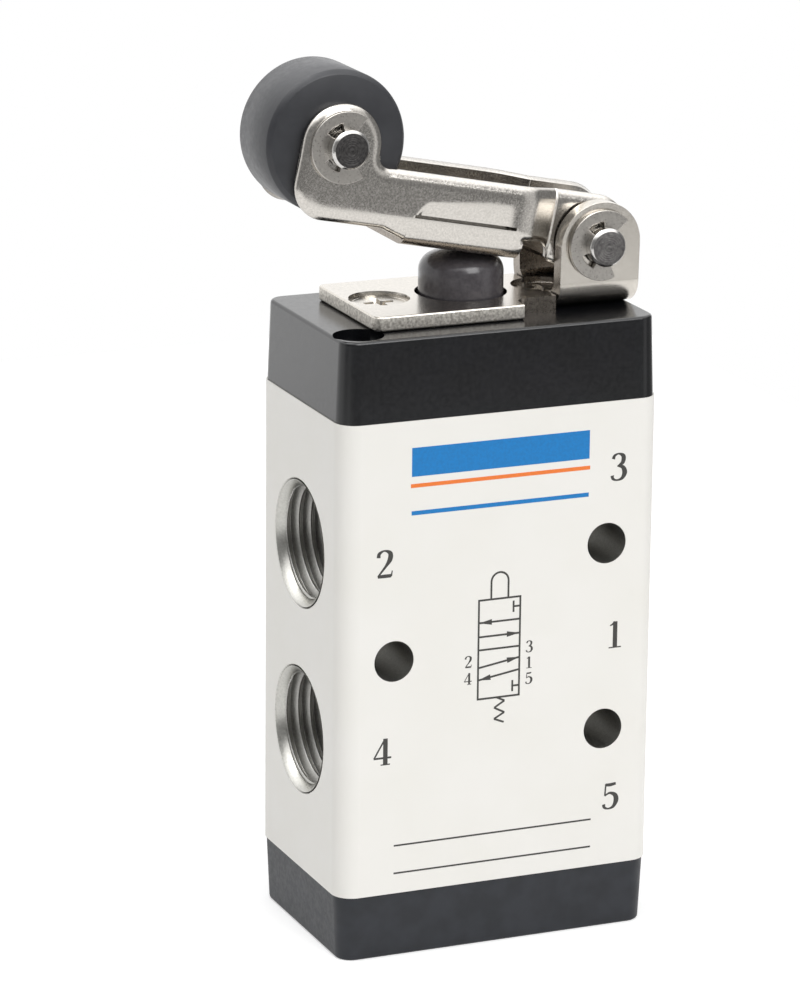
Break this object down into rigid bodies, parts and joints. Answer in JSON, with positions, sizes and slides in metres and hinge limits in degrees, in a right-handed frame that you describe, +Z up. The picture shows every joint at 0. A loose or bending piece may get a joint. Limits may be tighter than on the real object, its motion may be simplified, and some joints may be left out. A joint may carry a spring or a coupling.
{
  "type": "roller lever air valve",
  "caption": "Spring-return spool valve with threaded ports on both sides, worked by a pivoted roller lever that presses a domed plunger in the top cover",
  "frame": {"origin": "middle of the bottom cover's underside", "axes": "+Z up along the spool from the bottom cover to the lever, +X towards the face with the supply and exhaust ports, -X towards the face with the two outlets, -Y the marked front, lever at rest"},
  "size_m": [0.0403, 0.0226, 0.0916],
  "materials": {
    "body_white": "smooth white stoved paint on a light-alloy block",
    "cover_black": "glossy black moulding",
    "nickel_steel": "nickel-plated sheet steel, faintly speckled",
    "pin_steel": "bright turned steel",
    "clip_steel": "nickel-plated spring steel",
    "screw_nickel": "nickel-plated cross-recess screw",
    "screw_black": "black-finished socket screw",
    "roller_grey": "dark grey turned plastic, satin tread",
    "plunger_grey": "dark grey turned plastic",
    "seal_rubber": "black nitrile rubber",
    "spool_aluminium": "turned light alloy",
    "bush_brass": "turned brass",
    "spring_steel": "spring wire",
    "holder_white": "white moulding"
  },
  "bodies": {
    "valve": {"valve_body": "body_white", "bottom_cover": "cover_black", "top_cover": "cover_black", "bottom_cover_seal": "seal_rubber", "top_cover_seal": "seal_rubber", "bottom_cover_screws": "screw_black", "top_cover_screws": "screw_black", "bracket": "nickel_steel", "bracket_screws": "screw_nickel", "pivot_pin": "pin_steel", "pivot_clips": "clip_steel", "plunger_bush": "bush_brass", "plunger_seal": "seal_rubber", "return_spring": "spring_steel", "spring_holder": "holder_white"},
    "lever_arm": {"lever": "nickel_steel", "roller_pin": "pin_steel", "roller_clips": "clip_steel"},
    "roller_wheel": {"roller": "roller_grey"},
    "spool_assembly": {"plunger": "plunger_grey", "spool": "spool_aluminium", "spool_seals": "seal_rubber"}
  },
  "joints": [
    {"name": "lever_hinge", "type": "hinge", "parent": "valve", "child": "lever_arm", "pos_m": [0.0129, 0, 0.0721], "axis": [0, -1, 0], "range_deg": [0, 13], "stiffness_Nm_per_rad": 0.43, "springref_deg": -19.19},
    {"name": "roller_spin", "type": "hinge", "parent": "lever_arm", "child": "roller_wheel", "pos_m": [-0.01535, 0, 0.08418], "axis": [0, 1, 0], "continuous": true},
    {"name": "plunger_slide", "type": "slide", "parent": "valve", "child": "spool_assembly", "axis": [0, 0, -1], "range_m": [0, 0.00272], "deforming": ["return_spring"]}
  ],
  "couplings": [
    {"joint": "plunger_slide", "follows": "lever_hinge", "m_per_rad": 0.011947}
  ]
}
